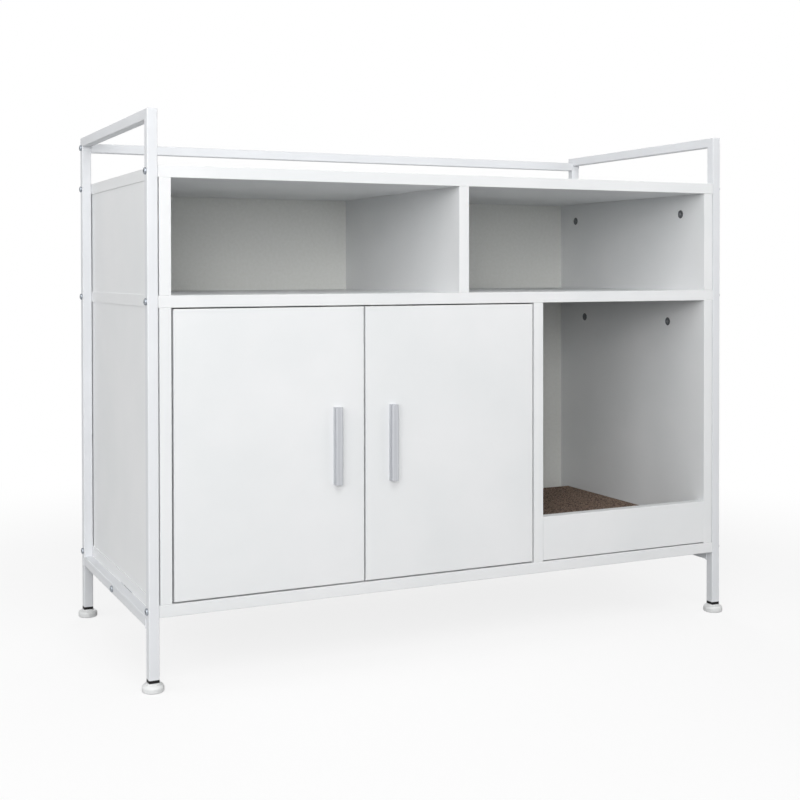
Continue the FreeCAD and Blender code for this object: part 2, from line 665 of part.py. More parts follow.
def hinge_plate(z):
    """Cross-shaped plate on the side board."""
    spine = rounded_bar(PLATE_WIDTH, PLATE_LENGTH, PLATE_SPINE_ROUND, PLATE)
    wings = rounded_bar(PLATE_SPAN, PLATE_WING_WIDTH, PLATE_WING_ROUND, PLATE)
    plate = along_x(joined([spine, wings]))
    plate.translate(Vector(-DOOR_SIDE_GAP, plate_row_y(), z))
    return drilled(plate, plate_screw_pair(z, BORE_CLEARANCE))


def handle():
    """Bar handle: square-shouldered section with chamfered front edges and a groove along each side."""
    half, lip = HANDLE_WIDTH / 2, HANDLE_GROOVE_WIDTH / 2
    front, waist = -HANDLE_DEPTH, -HANDLE_WAIST
    corner = [(-half, 0), (-half, waist + lip), (-half, waist - lip), (-half, front + HANDLE_EDGE),
              (-half + HANDLE_EDGE, front)]
    left = [Vector(x, y, 0) for x, y in corner]
    right = [Vector(-v.x, v.y, 0) for v in reversed(left)]
    mid_left, mid_right = Vector(-half + HANDLE_GROOVE, waist, 0), Vector(half - HANDLE_GROOVE, waist, 0)
    edges = [
        Part.makeLine(left[0], left[1]),
        Part.Arc(left[1], mid_left, left[2]).toShape(),
        Part.makeLine(left[2], left[3]),
        Part.makeLine(left[3], left[4]),
        Part.makeLine(left[4], right[0]),
        Part.makeLine(right[0], right[1]),
        Part.makeLine(right[1], right[2]),
        Part.Arc(right[2], mid_right, right[3]).toShape(),
        Part.makeLine(right[3], right[4]),
        Part.makeLine(right[4], left[0]),
    ]
    bar = Part.Face(Part.Wire(edges)).extrude(Vector(0, 0, HANDLE_LENGTH))
    bar.translate(Vector(DOOR_WIDTH - HANDLE_INSET, 0, DOOR_MIDDLE_Z - HANDLE_LENGTH / 2))
    return drilled(bar, [handle_screw(z, BORE_CLEARANCE) for z in handle_screw_levels()])


def handle_screw(z, extra=0.0):
    """Pan-head screw from behind the door into the handle."""
    rear = Vector(DOOR_WIDTH - HANDLE_INSET, BOARD, z)
    head = rod(HANDLE_SCREW_HEAD + extra, rear, Y_AXIS, HANDLE_SCREW_HEAD_HEIGHT)
    shank = rod(HANDLE_SCREW_RADIUS + extra, rear, Y_AXIS * -1, BOARD + HANDLE_SCREW_GRIP)
    return head.fuse(shank)


def strike_plate():
    """Steel plate on the rear of a door, where the catch holds it."""
    x = DOOR_WIDTH - CATCH_INSET
    plate = along_y(rounded_bar(STRIKE_WIDTH, STRIKE_HEIGHT, STRIKE_ROUND, STRIKE))
    plate.translate(Vector(x, BOARD, DOOR_Z1 - STRIKE_DROP - STRIKE_HEIGHT / 2))
    return plate


def catch():
    """Magnetic catch under the middle shelf, with a screw lug at each end."""
    x = DOOR_WIDTH - CATCH_INSET
    y = BOARD + STRIKE
    under = SHELF_Z - CATCH_HEIGHT
    half = CATCH_WIDTH / 2
    body_half = half - CATCH_LUG_LENGTH
    body = block(x - body_half, x + body_half, y, y + CATCH_DEPTH, under, SHELF_Z)
    body = softened(body, lambda edge: on_plane(edge, "Z", under), CATCH_ROUND)
    lugs = along_y(rounded_bar(CATCH_WIDTH, CATCH_LUG, CATCH_LUG / 3, CATCH_DEPTH - 2 * CATCH_ROUND))
    lugs.translate(Vector(x, y + CATCH_ROUND, SHELF_Z - CATCH_LUG / 2))
    return drilled(joined([body, lugs]), catch_screw_pair(BORE_CLEARANCE))


def catch_screw_pair(extra=0.0):
    """Two screws up through a catch's lugs into the middle shelf."""
    screws = []
    for half in (-1, 1):
        x = DOOR_WIDTH - CATCH_INSET + half * (CATCH_WIDTH - CATCH_LUG_LENGTH) / 2
        face = Vector(x, BOARD + STRIKE + CATCH_DEPTH / 2, SHELF_Z - CATCH_LUG)
        head = rod(CATCH_SCREW_HEAD + extra, face, Z_AXIS * -1, CATCH_SCREW_HEAD_HEIGHT)
        screws.append(head.fuse(rod(CATCH_SCREW_RADIUS + extra, face, Z_AXIS, CATCH_SCREW_LENGTH)))
    return screws


def catch_screws(extra=0.0):
    """Screws of both catches, in place."""
    return [placed(screw, right) for right in (False, True) for screw in catch_screw_pair(extra)]


def placed(shape, right):
    """Moves what is drawn at the left door's hinge edge to its place, or reflects it for the right door."""
    shape = shape.copy()
    shape.translate(Vector(-PANEL_X + DOOR_SIDE_GAP, FRONT, 0))
    return shape.mirror(Vector((DIVIDER_X0 - PANEL_X) / 2, 0, 0), X_AXIS) if right else shape


def make_doors():
    """Two doors with their handles, strike plates, hinges and catches."""
    levels = hinge_levels()
    for side, right in (("left", False), ("right", True)):
        pieces = {
            "door": [door_panel()],
            "handle": [handle()],
            "handle_screws": [handle_screw(z) for z in handle_screw_levels()],
            "strike_plate": [strike_plate()],
            "hinge_cups": [hinge_cup(z) for z in levels],
            "hinge_pins": [hinge_pin(z) for z in levels],
            "hinge_arms": [hinge_arm(z) for z in levels],
            "hinge_plates": [hinge_plate(z) for z in levels],
        }
        for name, shapes in pieces.items():
            nodes[side + "_" + name] = Part.makeCompound([placed(shape, right) for shape in shapes])
    nodes["hinge_plate_screws"] = Part.makeCompound(plate_screws(False) + plate_screws(True))
    nodes["door_catches"] = Part.makeCompound([placed(catch(), right) for right in (False, True)])
    nodes["catch_screws"] = Part.makeCompound(catch_screws())


# ---------------------------------------------------------------- feet
def foot_places():
    """Name and centre of every foot."""
    x = FRAME_X + TUBE / 2
    return {
        "front_left": (-x, POST_FRONT_Y),
        "front_right": (x, POST_FRONT_Y),
        "rear_left": (-x, POST_REAR_Y),
        "rear_right": (x, POST_REAR_Y),
    }


def tube_insert(x, y):
    """Plastic plug in the end of a post: a square rim below and a bored body inside the tube."""
    bore = TUBE - 2 * TUBE_WALL - 2 * BORE_CLEARANCE
    body = rounded_bar(bore, bore, TUBE_ROUND - TUBE_WALL, INSERT_LENGTH)
    rim = rounded_bar(TUBE, TUBE, TUBE_ROUND, INSERT_FLANGE)
    rim.translate(Vector(0, 0, -INSERT_FLANGE))
    thread = rod(FOOT_SCREW_RADIUS + BORE_CLEARANCE, Vector(0, 0, -INSERT_FLANGE), Z_AXIS,
                 INSERT_LENGTH + INSERT_FLANGE)
    plug = joined([body, rim]).cut(thread)
    plug.translate(Vector(x, y, FOOT_HEIGHT))
    return plug


def foot_pad(x, y):
    """Round pad with soft edges and a short neck that meets the plug's rim."""
    pad = rod(FOOT_RADIUS, Vector(0, 0, 0), Z_AXIS, FOOT_PAD)
    pad = softened(pad, lambda edge: on_plane(edge, "Z", FOOT_PAD), FOOT_ROUND)
    pad = softened(pad, lambda edge: on_plane(edge, "Z", 0), FOOT_SOLE_ROUND)
    neck = rod(FOOT_NECK_RADIUS, Vector(0, 0, FOOT_SOCKET), Z_AXIS, FOOT_HEIGHT - INSERT_FLANGE - FOOT_SOCKET)
    socket = rod(FOOT_SCREW_RADIUS + BORE_CLEARANCE, Vector(0, 0, FOOT_SOCKET), Z_AXIS, FOOT_HEIGHT)
    pad = joined([pad, neck]).cut(socket)
    pad.translate(Vector(x, y, 0))
    return pad


def foot_screw(x, y):
    """Threaded rod from the pad up through the plug. Its thread is drawn as a plain rod."""
    length = FOOT_HEIGHT + INSERT_LENGTH - FOOT_SOCKET
    return rod(FOOT_SCREW_RADIUS, Vector(x, y, FOOT_SOCKET), Z_AXIS, length)


def make_feet():
    """Four levelling feet and the plugs that they screw into."""
    for name, (x, y) in foot_places().items():
        nodes["foot_pad_" + name] = foot_pad(x, y)
        nodes["foot_screw_" + name] = foot_screw(x, y)
    nodes["post_plugs"] = Part.makeCompound([tube_insert(x, y) for x, y in foot_places().values()])


# ---------------------------------------------------------------- fasteners
def frame_bolt(side, y, z):
    """Button-head bolt through a frame tube, with a hexagon socket."""
    face = Vector(side * (FRAME_X + TUBE), y, z)
    out = X_AXIS * side
    head = rod(BOLT_HEAD_RADIUS, face, out, BOLT_HEAD)
    head = softened(head, lambda edge: on_plane(edge, "X", face.x + side * BOLT_HEAD), BOLT_HEAD_ROUND)
    shank = rod(BOLT_RADIUS, face, out * -1, TUBE + BOLT_GRIP)
    socket = hexagon(BOLT_SOCKET, face + out * (BOLT_HEAD - BOLT_SOCKET_DEPTH), out, BOLT_SOCKET_DEPTH)
    return joined([head, shank]).cut(socket)


def insert_nut(side, y, z):
    """Threaded insert in the end of a board."""
    nut = rod(NUT_RADIUS, Vector(side * FRAME_X, y, z), X_AXIS * -side, NUT_LENGTH)
    return nut.cut(rod(BOLT_RADIUS + BORE_CLEARANCE, Vector(side * FRAME_X, y, z), X_AXIS * -side, NUT_LENGTH))


def end_nut(side, y, z):
    """Threaded block in the end of a cross tube."""
    bore = TUBE - 2 * TUBE_WALL - 2 * BORE_CLEARANCE
    nut = along_x(rounded_bar(bore, bore, TUBE_ROUND - TUBE_WALL, END_NUT_LENGTH))
    nut.translate(Vector(FRAME_X - END_NUT_LENGTH, y, z))
    nut = nut.cut(rod(BOLT_RADIUS + BORE_CLEARANCE, Vector(FRAME_X, y, z), X_AXIS * -1, END_NUT_LENGTH))
    return nut if side > 0 else mirrored(nut)


def cam(face, centre):
    """Cam with a screwdriver slot on its face and a channel that the bolt's end goes into."""
    body = along_x(rod(CAM_RADIUS, Vector(0, 0, 0), Z_AXIS, CAM_DEPTH))
    slot = along_x(Part.makeBox(CAM_SLOT_WIDTH, CAM_SLOT_LENGTH, CAM_SLOT_DEPTH))
    slot.translate(Vector(CAM_DEPTH - CAM_SLOT_DEPTH, -CAM_SLOT_LENGTH / 2, CAM_SLOT_WIDTH / 2))
    shape = body.cut(slot)
    shape.translate(Vector(BOARD / 2 - CAM_DEPTH, 0, 0))
    if face < 0:
        shape = mirrored(shape)
    shape.translate(centre)
    return shape.cut(rod(CAM_BOLT_RADIUS + BORE_CLEARANCE, centre, Z_AXIS, CAM_RADIUS))


def cam_bolt(centre, head):
    """Bolt that the cam pulls, from the cam's centre up into the board above."""
    return rod(CAM_BOLT_RADIUS, centre, Z_AXIS, head - centre.z + CAM_BOLT_THREAD)


def make_fasteners():
    """Every group of like fasteners that holds the frames and the carcass."""
    uprights = upright_places().values()
    groups = {
        "frame_bolts": [frame_bolt(*place) for place in post_bolt_places() + rail_bolt_places()],
        "board_insert_nuts": [insert_nut(*place) for place in post_bolt_places()],
        "rail_end_nuts": [end_nut(*place) for place in rail_bolt_places()],
        "cams": [cam(face, centre) for name, face, centre, head in cam_places()],
        "cam_bolts": [cam_bolt(centre, head) for name, face, centre, head in cam_places()],
        "dowels": [dowel for x, foot, face in uprights for dowel in foot_dowels(x, foot)] + sill_dowels(),
        "panel_screws": [screw for x, foot, face in uprights for screw in panel_screws(x, foot)],
        "back_screws": [back_screw(x, z) for x, z in back_screw_places()],
    }
    for name, shapes in groups.items():
        nodes[name] = Part.makeCompound(shapes)


# ---------------------------------------------------------------- scratching pad
def make_pad():
    """Loose corrugated pad on the floor of the entry compartment, behind the sill."""
    x0, x1 = DIVIDER_X1 + PAD_SIDE_GAP, PANEL_X - PAD_SIDE_GAP
    y0 = FRONT + BOARD + PAD_FRONT_GAP
    pad = block(x0, x1, y0, CARCASS_REAR - PAD_REAR_GAP, FLOOR_Z, FLOOR_Z + PAD_HEIGHT)
    nodes["scratching_pad"] = softened(pad, lambda edge: edge.BoundBox.ZLength > 1, PAD_ROUND)


def main():
    """Makes every piece and writes one file for each node."""
    make_frames()
    make_level_boards()
    make_uprights()
    make_back_panels()
    make_doors()
    make_feet()
    make_fasteners()
    make_pad()
    os.makedirs("parts", exist_ok=True)
    for name, shape in nodes.items():
        shape.exportStep("parts/" + name + ".step")
    print(len(nodes), "nodes,", sum(len(shape.Solids) for shape in nodes.values()), "solids")


main()
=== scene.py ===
import json
import math

import bmesh
import bpy
import numpy as np
from mathutils import Matrix, Vector


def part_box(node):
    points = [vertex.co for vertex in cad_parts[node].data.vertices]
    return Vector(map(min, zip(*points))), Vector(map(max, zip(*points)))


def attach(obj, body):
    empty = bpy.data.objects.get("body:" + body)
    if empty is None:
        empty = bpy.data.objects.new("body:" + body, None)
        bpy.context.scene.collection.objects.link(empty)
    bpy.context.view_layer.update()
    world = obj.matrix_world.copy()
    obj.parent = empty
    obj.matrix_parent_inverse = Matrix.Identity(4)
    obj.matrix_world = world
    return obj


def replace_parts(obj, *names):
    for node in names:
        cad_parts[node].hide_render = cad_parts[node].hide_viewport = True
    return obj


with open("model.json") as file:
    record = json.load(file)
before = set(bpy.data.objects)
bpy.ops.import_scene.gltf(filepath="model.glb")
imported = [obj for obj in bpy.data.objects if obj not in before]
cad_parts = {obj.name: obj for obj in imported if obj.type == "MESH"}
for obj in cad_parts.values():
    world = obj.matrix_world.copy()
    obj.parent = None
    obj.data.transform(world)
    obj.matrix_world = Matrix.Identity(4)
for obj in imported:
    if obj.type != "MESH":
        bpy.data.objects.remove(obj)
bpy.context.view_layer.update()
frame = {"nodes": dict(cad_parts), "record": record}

NODES = frame["nodes"]
MM = 0.001
SEED = 7

# ---------------------------------------------------------------- sizes of the small hardware
# Each kind of screw has its head's radius, its head's height and its shank's radius.
BACK_SCREW = (3.6 * MM, 1.6 * MM, 1.6 * MM)
PANEL_SCREW = (4.8 * MM, 3.0 * MM, 2.5 * MM)
CATCH_SCREW = (2.9 * MM, 1.3 * MM, 1.5 * MM)
HANDLE_SCREW = (4.0 * MM, 2.4 * MM, 2.0 * MM)
PLATE_SCREW = (3.4 * MM, 1.6 * MM, 1.7 * MM)
FLANGE_SCREW = (3.3 * MM, 1.5 * MM, 1.7 * MM)
ARM_SCREW = (3.0 * MM, 1.2 * MM, 1.6 * MM)
FLANGE_SCREW_DEPTH = 12 * MM    # shank behind the head of a screw in a hinge cup's wing
ARM_SCREW_DEPTH = 8 * MM        # the same for a screw in a hinge arm
CAM_DOME = 1.4 * MM             # height of the dome on a cam's face
RECESS_WIDTH = 0.26             # arm width of a cross recess, as a share of the head's radius
RECESS_REACH = 0.58             # length of one arm, as a share of the head's radius
RECESS_DEPTH = 0.42             # depth of the recess, as a share of the head's radius
ROD_PITCH = 1.0 * MM            # thread pitch of the levelling feet
ROD_THREAD = 0.55 * MM          # thread depth
FLANGE_SCREW_OFFSET = 24 * MM   # hinge centre to each of the cup's two screws
FLANGE_SCREW_INSET = 6.5 * MM   # inner edge of the cup's flange to its screws
ARM_SCREWS = (14 * MM, 34 * MM)     # hinge arm's front end to its two screws
ARM_LENGTH = 46 * MM            # hinge arm, without its horn
ARM_STAND = 12 * MM             # side board to the arm's web
BEAD_RADIUS = 1.3 * MM          # weld bead between a lower rail and a post
BEAD_RIPPLE = 1.6 * MM          # distance from one ripple of the bead to the next

# ---------------------------------------------------------------- sizes of the scratching pad
PAPER = 0.35 * MM
LAYER = 5.0 * MM                # one liner and one fluted sheet
FLUTE = 7.8 * MM                # pitch of the flutes
FLUTE_POINTS = 7                # points that draw one flute
WRAP = 0.9 * MM                 # board band round the pad


# ---------------------------------------------------------------- mesh tools
def grid_faces(rows, columns, wrap):
    """Quads of a grid of points numbered row by row. With wrap, the last column joins the first."""
    row = np.arange(rows - 1)[:, None] * columns
    column = np.arange(columns if wrap else columns - 1)[None, :]
    after = (column + 1) % columns
    quads = np.stack([row + column, row + after, row + columns + after, row + columns + column], axis=-1)
    return quads.reshape(-1, 4)


def make_piece(name, grids, body, finish, wrap=True, smooth=True):
    """One mesh piece from grids of points, each rows x columns x 3. Coinciding points are merged."""
    points, quads, start = [], [], 0
    for grid in grids:
        rows, columns = grid.shape[:2]
        points.append(grid.reshape(-1, 3))
        quads.append(grid_faces(rows, columns, wrap) + start)
        start += rows * columns
    mesh = bpy.data.meshes.new(name)
    mesh.from_pydata(np.concatenate(points).tolist(), [], np.concatenate(quads).tolist())
    shaped = bmesh.new()
    shaped.from_mesh(mesh)
    bmesh.ops.remove_doubles(shaped, verts=shaped.verts, dist=0.002 * MM)
    bmesh.ops.recalc_face_normals(shaped, faces=shaped.faces)
    shaped.to_mesh(mesh)
    shaped.free()
    mesh.polygons.foreach_set("use_smooth", [smooth] * len(mesh.polygons))
    mesh.materials.append(finish)
    piece = bpy.data.objects.new(name, mesh)
    bpy.context.scene.collection.objects.link(piece)
    if smooth:
        mesh.set_sharp_from_angle(angle=math.radians(38))
    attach(piece, body)
    return piece


def turned_to(grid, axis, place):
    """Turns a shape drawn along +Z so that it points along an axis, and moves it to its place."""
    turn = np.array(Vector((0, 0, 1)).rotation_difference(Vector(axis)).to_matrix())
    return grid @ turn.T + np.array(place)


# ---------------------------------------------------------------- shapes of the small hardware
def cross_head_screw(radius, height, shank, depth, columns=32):
    """Screw with a domed head and a cross recess.

    A profile of radius and height is turned round Z: point, shank, flat underside, short rim, then a
    dome whose height falls with the square of the radius. The recess lowers the dome where the
    distance to the nearer of two crossed lines is under half the arm's width, less towards its ends.
    """
    rim = 0.35 * height
    dome = np.linspace(1, 0, 11)
    radii = np.concatenate([[0, 0.6 * shank, shank, shank, radius * 0.96, radius], radius * dome])
    heights = np.concatenate([[-depth, -depth + shank, -depth + 1.6 * shank, 0, 0, 0.1 * height],
                              rim + (height - rim) * (1 - dome ** 2)])
    angles = np.linspace(0, 2 * math.pi, columns, endpoint=False)
    x = radii[:, None] * np.cos(angles)
    y = radii[:, None] * np.sin(angles)
    z = heights[:, None] + 0 * x
    arm = np.clip((RECESS_WIDTH * radius / 2 - np.minimum(abs(x), abs(y))) / (0.1 * radius) + 0.5, 0, 1)
    reach = np.clip((RECESS_REACH * radius - np.hypot(x, y)) / (0.35 * radius), 0, 1)
    on_dome = (np.arange(len(radii)) >= len(radii) - len(dome))[:, None]
    z = z - on_dome * arm * reach * RECESS_DEPTH * radius
    return np.stack([x, y, z], axis=-1)


def threaded_rod(radius, length, columns=28, steps=6):
    """Threaded rod along +Z from the origin, with a cone at each end.

    The radius at height z and angle a is the outer radius less the thread's depth times a wave of
    z / pitch - a / turn, so that the crest climbs one pitch in each turn.
    """
    rows = int(length / ROD_PITCH * steps)
    z = np.linspace(0, length, rows)[:, None]
    angles = np.linspace(0, 2 * math.pi, columns, endpoint=False)[None, :]
    wave = 0.5 + 0.5 * np.cos(2 * math.pi * z / ROD_PITCH - angles)
    taper = np.clip(np.minimum(z, length - z) / ROD_PITCH, 0, 1)
    r = (radius - ROD_THREAD * wave) * (0.75 + 0.25 * taper)
    side = np.stack([r * np.cos(angles), r * np.sin(angles), z + 0 * r], axis=-1)
    centre = np.zeros((1, columns, 3))
    return np.concatenate([centre, side, centre + np.array([0, 0, length])])


def bead(path, radius, columns=10, step=0.4 * MM):
    """Weld bead: a round section carried along a polyline, rippled, and drawn to a point at each end.

    The radius is swollen by a wave of the distance along the path and shrinks to nothing over the
    last millimetre at each end.
    """
    path = np.array(path)
    runs = np.linalg.norm(np.diff(path, axis=0), axis=1)
    along = np.concatenate([[0], np.cumsum(runs)])
    count = int(along[-1] / step)
    s = np.linspace(0, along[-1], count)
    centre = np.stack([np.interp(s, along, path[:, k]) for k in range(3)], axis=-1)
    forward = np.gradient(centre, axis=0)
    forward /= np.linalg.norm(forward, axis=1)[:, None]
    normal = np.array([0.0, 1.0, 0.0]) + 0 * centre
    side = np.cross(forward, normal)
    swell = radius * (1 + 0.12 * np.cos(2 * math.pi * s / BEAD_RIPPLE))
    swell *= np.sqrt(np.clip(np.minimum(s, along[-1] - s) / MM, 0, 1))
    angles = np.linspace(0, 2 * math.pi, columns, endpoint=False)
    ring = np.cos(angles)[None, :, None] * normal[:, None] + np.sin(angles)[None, :, None] * side[:, None]
    return centre[:, None] + swell[:, None, None] * ring


def standing_sheet(line, thickness, low, high):
    """Paper sheet that stands on edge: a line in plan, thickened along X, from one height to another.

    line is points x 2, and high is one height for each point. The section is a closed loop of four
    corners, and both ends are drawn together.
    """
    x, y = line[:, 0], line[:, 1]
    half = thickness / 2
    low = low + 0 * x
    corners = [np.stack([x - half, y, low], -1), np.stack([x + half, y, low], -1),
               np.stack([x + half, y, high], -1), np.stack([x - half, y, high], -1)]
    loop = np.stack(corners, axis=1)
    ends = [np.repeat(loop[k].mean(axis=0)[None], 4, axis=0)[None] for k in (0, -1)]
    return np.concatenate([ends[0], loop, ends[1]])


# ---------------------------------------------------------------- finishes
def linear(code):
    """Linear colour of an sRGB hex code, with its alpha."""
    values = [int(code[k:k + 2], 16) / 255 for k in (1, 3, 5)]
    return [v / 12.92 if v <= 0.04045 else ((v + 0.055) / 1.055) ** 2.4 for v in values] + [1.0]


def add(tree, kind, inputs=None, stops=(), **settings):
    """Adds a shader node with its settings. An input is a value or another node's output.

    stops are the places and sRGB hex codes of a colour ramp.
    """
    made = tree.nodes.new("ShaderNode" + kind)
    for name, value in settings.items():
        setattr(made, name, value)
    for name, value in (inputs or {}).items():
        if isinstance(value, bpy.types.NodeSocket):
            tree.links.new(value, made.inputs[name])
        else:
            made.inputs[name].default_value = value
    for number, (place, code) in enumerate(stops):
        made.color_ramp.elements[number].position = place
        made.color_ramp.elements[number].color = linear(code)
    return made


def finish_of(name, **sockets):
    """New material, its node tree and its Principled shader with the plain sockets set on it."""
    made = bpy.data.materials.new(name)
    made.use_nodes = True
    tree = made.node_tree
    shader = tree.nodes["Principled BSDF"]
    for socket, value in sockets.items():
        shader.inputs[socket.replace("_", " ")].default_value = value
    return made, tree, shader


def dress(tree, shader, **sources):
    """Links outputs to the shader's sockets, whose names have underscores for spaces here."""
    for socket, source in sources.items():
        tree.links.new(source, shader.inputs[socket.replace("_", " ")])


def melamine():
    """White melamine foil pressed on particle board, satin.

    To the eye: flat white with a fine emboss that breaks up the gloss, and a very faint cloudiness.
    """
    made, tree, shader = finish_of("melamine_foil", Specular_IOR_Level=0.45)
    place = add(tree, "TexCoord").outputs["Object"]
    cloud = add(tree, "TexNoise", {"Vector": place, "Scale": 6.0, "Detail": 3.0}).outputs["Fac"]
    colour = add(tree, "ValToRGB", {"Fac": cloud}, stops=((0.35, "#E1E3E4"), (0.65, "#E6E7E8")))
    # The emboss is about 0.4 mm on the real foil. It is drawn at 1.2 mm so that it shows.
    pores = add(tree, "TexNoise", {"Vector": place, "Scale": 1 / (1.2 * MM), "Detail": 2.0}).outputs["Fac"]
    rough = add(tree, "MapRange", {"Value": pores, "To Min": 0.36, "To Max": 0.48}).outputs["Result"]
    relief = add(tree, "Bump", {"Height": pores, "Strength": 0.10, "Distance": 0.05 * MM}).outputs["Normal"]
    dress(tree, shader, Base_Color=colour.outputs["Color"], Roughness=rough, Normal=relief)
    return made


def lacquered_hardboard():
    """Thin hardboard with a printed white lacquer.

    To the eye: white like the boards but flatter, with a fine pressed mottle.
    """
    made, tree, shader = finish_of("lacquered_hardboard", Specular_IOR_Level=0.35)
    place = add(tree, "TexCoord").outputs["Object"]
    mottle = add(tree, "TexNoise", {"Vector": place, "Scale": 1 / (6 * MM), "Detail": 4.0}).outputs["Fac"]
    colour = add(tree, "ValToRGB", {"Fac": mottle}, stops=((0.3, "#DEDFDB"), (0.7, "#E3E4E1")))
    rough = add(tree, "MapRange", {"Value": mottle, "To Min": 0.5, "To Max": 0.62}).outputs["Result"]
    relief = add(tree, "Bump", {"Height": mottle, "Strength": 0.12, "Distance": 0.06 * MM}).outputs["Normal"]
    dress(tree, shader, Base_Color=colour.outputs["Color"], Roughness=rough, Normal=relief)
    return made


def powder_coat():
    """White polyester powder coat baked on steel tube.

    To the eye: a slightly cooler, glossier white than the boards, with orange peel in its highlights.
    """
    made, tree, shader = finish_of("powder_coat", Roughness=0.5, Specular_IOR_Level=0.35,
                                   Coat_Weight=0.1, Coat_Roughness=0.22)
    place = add(tree, "TexCoord").outputs["Object"]
    drift = add(tree, "TexNoise", {"Vector": place, "Scale": 9.0, "Detail": 2.0}).outputs["Fac"]
    colour = add(tree, "ValToRGB", {"Fac": drift}, stops=((0.3, "#DADCDF"), (0.7, "#DFE1E4")))
    # Orange peel is about 1.5 mm from crest to crest.
    peel = add(tree, "TexNoise", {"Vector": place, "Scale": 1 / (1.5 * MM), "Detail": 1.0}).outputs["Fac"]
    relief = add(tree, "Bump", {"Height": peel, "Strength": 0.18, "Distance": 0.08 * MM}).outputs["Normal"]
    dress(tree, shader, Base_Color=colour.outputs["Color"], Normal=relief, Coat_Normal=relief)
    return made


def anodised_aluminium():
    """Extruded aluminium bar, satin silver anodised.

    To the eye: soft silver with hairline grain along its length and a stretched highlight.
    """
    made, tree, shader = finish_of("anodised_aluminium", Metallic=1.0, Anisotropic=0.45)
    place = add(tree, "TexCoord").outputs["Object"]
    # Grain lines are about 0.3 mm apart and run along Z.
    stretched = add(tree, "Mapping", {"Vector": place, "Scale": (1 / (0.3 * MM), 1 / (0.3 * MM), 14.0)})
    grain = add(tree, "TexNoise", {"Vector": stretched.outputs["Vector"], "Scale": 1.0, "Detail": 2.0})
    grain = grain.outputs["Fac"]
    colour = add(tree, "ValToRGB", {"Fac": grain}, stops=((0.3, "#B4B6BB"), (0.7, "#C4C6CA")))
    rough = add(tree, "MapRange", {"Value": grain, "To Min": 0.3, "To Max": 0.42}).outputs["Result"]
    relief = add(tree, "Bump", {"Height": grain, "Strength": 0.15, "Distance": 0.02 * MM}).outputs["Normal"]
    dress(tree, shader, Base_Color=colour.outputs["Color"], Roughness=rough, Normal=relief)
    return made


def plated(name, dull, bright, rough_low, rough_high, grit):
    """Plated or cast metal: a metallic skin whose colour and roughness drift over a real grit size."""
    made, tree, shader = finish_of(name, Metallic=1.0)
    place = add(tree, "TexCoord").outputs["Object"]
    drift = add(tree, "TexNoise", {"Vector": place, "Scale": 1 / grit, "Detail": 4.0}).outputs["Fac"]
    colour = add(tree, "ValToRGB", {"Fac": drift}, stops=((0.3, dull), (0.7, bright)))
    rough = add(tree, "MapRange", {"Value": drift, "To Min": rough_low, "To Max": rough_high})
    relief = add(tree, "Bump", {"Height": drift, "Strength": 0.2, "Distance": 0.04 * MM}).outputs["Normal"]
    dress(tree, shader, Base_Color=colour.outputs["Color"], Roughness=rough.outputs["Result"], Normal=relief)
    return made


def moulded(name, low, high, rough_low, rough_high, grit, **sockets):
    """Moulded plastic: one colour with a slight drift, and the fine spark texture of its mould."""
    made, tree, shader = finish_of(name, **sockets)
    place = add(tree, "TexCoord").outputs["Object"]
    spark = add(tree, "TexNoise", {"Vector": place, "Scale": 1 / grit, "Detail": 3.0}).outputs["Fac"]
    colour = add(tree, "ValToRGB", {"Fac": spark}, stops=((0.3, low), (0.7, high)))
    rough = add(tree, "MapRange", {"Value": spark, "To Min": rough_low, "To Max": rough_high})
    relief = add(tree, "Bump", {"Height": spark, "Strength": 0.15, "Distance": 0.05 * MM}).outputs["Normal"]
    dress(tree, shader, Base_Color=colour.outputs["Color"], Roughness=rough.outputs["Result"], Normal=relief)
    return made


def beech():
    """Turned beech, unfinished.

    To the eye: pale tan with long streaks.
    """
    made, tree, shader = finish_of("beech", Roughness=0.6)
    place = add(tree, "TexCoord").outputs["Object"]
    # Streaks are about 1 mm wide and 17 mm long.
    stretched = add(tree, "Mapping", {"Vector": place, "Scale": (900.0, 900.0, 60.0)}).outputs["Vector"]
    grain = add(tree, "TexNoise", {"Vector": stretched, "Scale": 1.0, "Detail": 3.0}).outputs["Fac"]
    colour = add(tree, "ValToRGB", {"Fac": grain}, stops=((0.3, "#BE9A6C"), (0.7, "#D9BC90")))
    dress(tree, shader, Base_Color=colour.outputs["Color"])
    return made


def kraft_board():
    """Brown kraft paper, the liner and flutes of corrugated board, with no coating.

    To the eye: matte grey-brown and speckled. The lighter spots are the paper's own colour, and the darker
    spots between them are painted shade of the flute hollows.
    """
    made, tree, shader = finish_of("kraft_board", Specular_IOR_Level=0.15, Sheen_Weight=0.1)
    place = add(tree, "TexCoord").outputs["Object"]
    # Spots are about 4 mm across. The dark end of the ramp is painted shade of the flute hollows, and the
    # light end is the paper's own colour.
    paper_tone_and_hollow_shade = add(tree, "TexNoise", {"Vector": place, "Scale": 1 / (4 * MM), "Detail": 2.0}).outputs["Fac"]
    colour = add(tree, "ValToRGB", {"Fac": paper_tone_and_hollow_shade}, stops=((0.35, "#5C4C42"), (0.65, "#A08B7B")))
    # Fibres are about 2 mm long and 0.5 mm wide.
    scale = (1 / (0.5 * MM), 1 / (0.5 * MM), 1 / (2 * MM))
    stretched = add(tree, "Mapping", {"Vector": place, "Scale": scale})
    fibre = add(tree, "TexNoise", {"Vector": stretched.outputs["Vector"], "Scale": 1.0, "Detail": 3.0})
    fibre = fibre.outputs["Fac"]
    rough = add(tree, "MapRange", {"Value": fibre, "To Min": 0.8, "To Max": 0.95}).outputs["Result"]
    relief = add(tree, "Bump", {"Height": fibre, "Strength": 0.3, "Distance": 0.1 * MM}).outputs["Normal"]
    dress(tree, shader, Base_Color=colour.outputs["Color"], Roughness=rough, Normal=relief)
    return made


